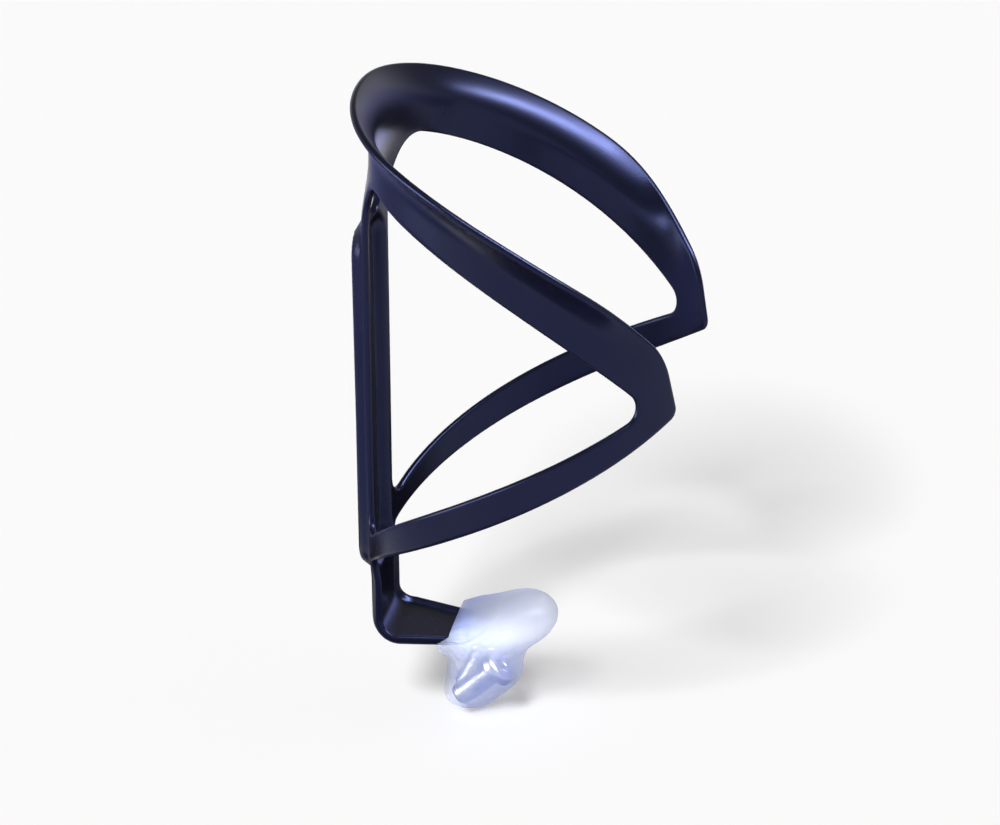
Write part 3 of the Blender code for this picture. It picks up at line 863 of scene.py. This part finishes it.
def film_material():
    """Milky film: clear and bluish round the bolts, clearest at its mouth; the upper lobe is painted
    whiter, painted light where the lobe is lit.
    """
    result, tree, shader = new_material("milky_film_look")
    nodes = tree.nodes
    link = tree.links.new
    shader.inputs["Roughness"].default_value = 0.3
    shader.inputs["Specular IOR Level"].default_value = 0.2
    place = nodes.new("ShaderNodeTexCoord")
    axes = nodes.new("ShaderNodeSeparateXYZ")
    link(place.outputs["Object"], axes.inputs["Vector"])

    cloud = nodes.new("ShaderNodeTexNoise")
    cloud.inputs["Scale"].default_value = 110
    cloud.inputs["Detail"].default_value = 4
    link(place.outputs["Object"], cloud.inputs["Vector"])
    tone = nodes.new("ShaderNodeValToRGB")
    tone.color_ramp.elements[0].position = 0.35
    tone.color_ramp.elements[0].color = (0.44, 0.53, 0.96, 1)
    tone.color_ramp.elements[1].position = 0.65
    tone.color_ramp.elements[1].color = (0.62, 0.7, 0.98, 1)
    link(cloud.outputs["Fac"], tone.inputs["Fac"])
    # Painted light: the tone blends to near white towards the upper lobe, where the lobe is lit.
    upper = map_range(tree, axes.outputs["Z"], LOBE_PAINTED_LIGHT_Z, (0.0, 1.0))
    away = map_range(tree, axes.outputs["Y"], LOBE_PAINTED_LIGHT_Y, (0.0, 1.0))
    blend = nodes.new("ShaderNodeMix")
    blend.data_type = "RGBA"
    blend.inputs["B"].default_value = (0.74, 0.8, 0.99, 1)
    lobe = combine(tree, "MULTIPLY", upper.outputs["Result"], away.outputs["Result"])
    link(lobe, blend.inputs["Factor"])
    link(tone.outputs["Color"], blend.inputs["A"])
    link(blend.outputs["Result"], shader.inputs["Base Color"])

    over_foot = map_range(tree, axes.outputs["Y"], FOOT_COVER_Y, (LOBE_COVER, FOOT_COVER))
    cover = map_range(tree, axes.outputs["Z"], LOBE_COVER_Z, (BOLT_COVER, FOOT_COVER))
    link(over_foot.outputs["Result"], cover.inputs["To Max"])
    facing = nodes.new("ShaderNodeLayerWeight")
    facing.inputs["Blend"].default_value = 0.25
    edge = combine(tree, "MULTIPLY", facing.outputs["Facing"], EDGE_COVER)
    milk = combine(tree, "MAXIMUM", cover.outputs["Result"], edge)
    mouth = map_range(tree, axes.outputs["Y"], MOUTH_Y, (1.0, MOUTH_COVER))
    rays = nodes.new("ShaderNodeLightPath")
    thin = map_range(tree, rays.outputs["Is Shadow Ray"], (0.0, 1.0), (1.0, SHADOW_COVER))
    veil = combine(tree, "MULTIPLY", milk, mouth.outputs["Result"])
    link(combine(tree, "MULTIPLY", veil, thin.outputs["Result"]), shader.inputs["Alpha"])

    bump = nodes.new("ShaderNodeBump")
    bump.inputs["Distance"].default_value = FILM_BUMP
    link(cloud.outputs["Fac"], bump.inputs["Height"])
    link(bump.outputs["Normal"], shader.inputs["Normal"])
    return result


def seen_rays(tree):
    """1 for the rays that show a surface to the camera, directly, in gloss or through film."""
    rays = tree.nodes.new("ShaderNodeLightPath").outputs
    direct = combine(tree, "MAXIMUM", rays["Is Camera Ray"], rays["Is Glossy Ray"])
    return combine(tree, "MAXIMUM", direct, rays["Is Transmission Ray"])


def floor_material():
    """Pale floor that is seen as near white, with the object's soft shadow."""
    result = bpy.data.materials.new("pale_floor")
    result.use_nodes = True
    tree = result.node_tree
    tree.nodes.remove(tree.nodes["Principled BSDF"])
    matt = tree.nodes.new("ShaderNodeBsdfDiffuse")
    matt.inputs["Color"].default_value = (0.95, 0.95, 0.95, 1)
    glow = tree.nodes.new("ShaderNodeEmission")
    glow.inputs["Color"].default_value = (1, 1, 1, 1)
    share = tree.nodes.new("ShaderNodeMath")
    share.operation = "MULTIPLY"
    share.inputs[1].default_value = FLOOR_GLOW
    blend = tree.nodes.new("ShaderNodeMixShader")
    tree.links.new(seen_rays(tree), share.inputs[0])
    tree.links.new(share.outputs[0], blend.inputs["Fac"])
    tree.links.new(matt.outputs[0], blend.inputs[1])
    tree.links.new(glow.outputs[0], blend.inputs[2])
    tree.links.new(blend.outputs[0], tree.nodes["Material Output"].inputs["Surface"])
    return result


def make_world():
    """Studio surround: white round the horizon and dim overhead."""
    world = bpy.data.worlds.new("studio")
    world.use_nodes = True
    tree = world.node_tree
    sky = tree.nodes["Background"]
    place = tree.nodes.new("ShaderNodeTexCoord")
    height = tree.nodes.new("ShaderNodeSeparateXYZ")
    shade = tree.nodes.new("ShaderNodeValToRGB")
    shade.color_ramp.elements[0].position = 0.1
    shade.color_ramp.elements[0].color = (0.96, 0.96, 0.96, 1)
    shade.color_ramp.elements[1].position = 0.3
    shade.color_ramp.elements[1].color = (0.2, 0.19, 0.19, 1)
    tree.links.new(place.outputs["Generated"], height.inputs["Vector"])
    tree.links.new(height.outputs["Z"], shade.inputs["Fac"])
    tree.links.new(shade.outputs["Color"], sky.inputs["Color"])
    bpy.context.scene.world = world


def add_flag(name, mesh, colour, place):
    """Felt flag that only shows in gloss."""
    felt, _, shader = new_material(name + "_felt")
    shader.inputs["Base Color"].default_value = (*colour, 1)
    shader.inputs["Roughness"].default_value = 1.0
    shader.inputs["Specular IOR Level"].default_value = 0.0
    flag = add_object(name, mesh, felt)
    flag.location = place
    flag.visible_camera = False
    flag.visible_diffuse = False
    flag.visible_transmission = False
    flag.visible_shadow = False


def floor_flag(name, size, colour, x, y):
    """Square of felt on the floor."""
    mesh = bmesh.new()
    bmesh.ops.create_grid(mesh, x_segments=1, y_segments=1, size=size / 2)
    add_flag(name, mesh, colour, Vector((x, y, FLOOR_Z + MM)))


def make_flags():
    """Felt behind the set and on the floor, which tames the white gloss near the horizon."""
    turns = [mix(-FLAG_ANGLE, FLAG_ANGLE, i / FLAG_STEPS) for i in range(FLAG_STEPS + 1)]
    around = [Vector((FLAG_RADIUS * math.cos(t), FLAG_RADIUS * math.sin(t), 0)) for t in turns]
    arc = bmesh.new()
    rise = Vector((0, 0, FLAG_TOP_Z - FLOOR_Z))
    add_grid(arc, [around, [point + rise for point in around]])
    add_flag("arc_flag", arc, ARC_FLAG_COLOUR, Vector((FLAG_X, 0, FLOOR_Z)))
    for name, (size, colour, place) in FLOOR_FLAGS.items():
        floor_flag(name, size, colour, *place)


def make_stage():
    """Floor, world, lights and camera."""
    mesh = bmesh.new()
    bmesh.ops.create_grid(mesh, x_segments=1, y_segments=1, size=FLOOR_HALF_SIZE)
    floor = add_object("floor", mesh, floor_material())
    floor.location.z = FLOOR_Z
    make_world()

    sun = bpy.data.lights.new("key", "SUN")
    sun.energy = KEY_LEVEL * math.pi
    sun.angle = KEY_SPREAD
    key = bpy.data.objects.new("key", sun)
    key.rotation_euler = KEY_WAY.to_track_quat("Z", "Y").to_euler()
    key.visible_glossy = False
    bpy.context.collection.objects.link(key)
    for name, (place, size, length_way, power, colour) in GLOSS_LAMPS.items():
        lamp = add_light(name, Vector(place), size, Vector(length_way), power)
        lamp.data.color = colour
        lamp.visible_diffuse = False
    make_flags()

    camera = bpy.data.cameras.new("camera")
    camera.lens = CAMERA_LENS
    camera.sensor_width = SENSOR_WIDTH
    seen = bpy.data.objects.new("camera", camera)
    back = Vector((math.sin(CAMERA_AZIMUTH) * math.cos(CAMERA_ELEVATION),
                   -math.cos(CAMERA_AZIMUTH) * math.cos(CAMERA_ELEVATION), math.sin(CAMERA_ELEVATION)))
    turn = back.to_track_quat("Z", "Y").to_matrix() @ Matrix.Rotation(CAMERA_ROLL, 3, "Z")
    seen.matrix_world = Matrix.Translation(CAMERA_TARGET + CAMERA_DISTANCE * back) @ turn.to_4x4()
    bpy.context.collection.objects.link(seen)
    bpy.context.scene.camera = seen
    bpy.context.scene.view_settings.view_transform = "Standard"


def add_light(name, place, size, length_way, power):
    """Rectangular area light aimed at the object, its length along the given way."""
    light = bpy.data.lights.new(name, "AREA")
    light.shape = "RECTANGLE"
    light.size, light.size_y = size
    light.energy = power
    lamp = bpy.data.objects.new(name, light)
    back = (place - CAMERA_TARGET).normalized()
    along = (length_way - length_way.dot(back) * back).normalized()
    turn = Matrix((along, back.cross(along), back)).transposed()
    lamp.matrix_world = Matrix.Translation(place) @ turn.to_4x4()
    lamp.visible_camera = False
    bpy.context.collection.objects.link(lamp)
    return lamp


def main():
    grain = grain_group()
    shell = make_shell(composite_material(grain))
    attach(shell, "cage")
    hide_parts("cage_body")
    steel = steel_material(grain)
    for name, (head, tilt) in BOLTS.items():
        bolt = make_bolt(name + "_threaded", head, tilt, steel)
        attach(bolt, "bolt_bag")
        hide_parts(name)
    bag = make_bag(film_material())
    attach(bag, "bolt_bag")
    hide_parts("bag")
    make_stage()


main()
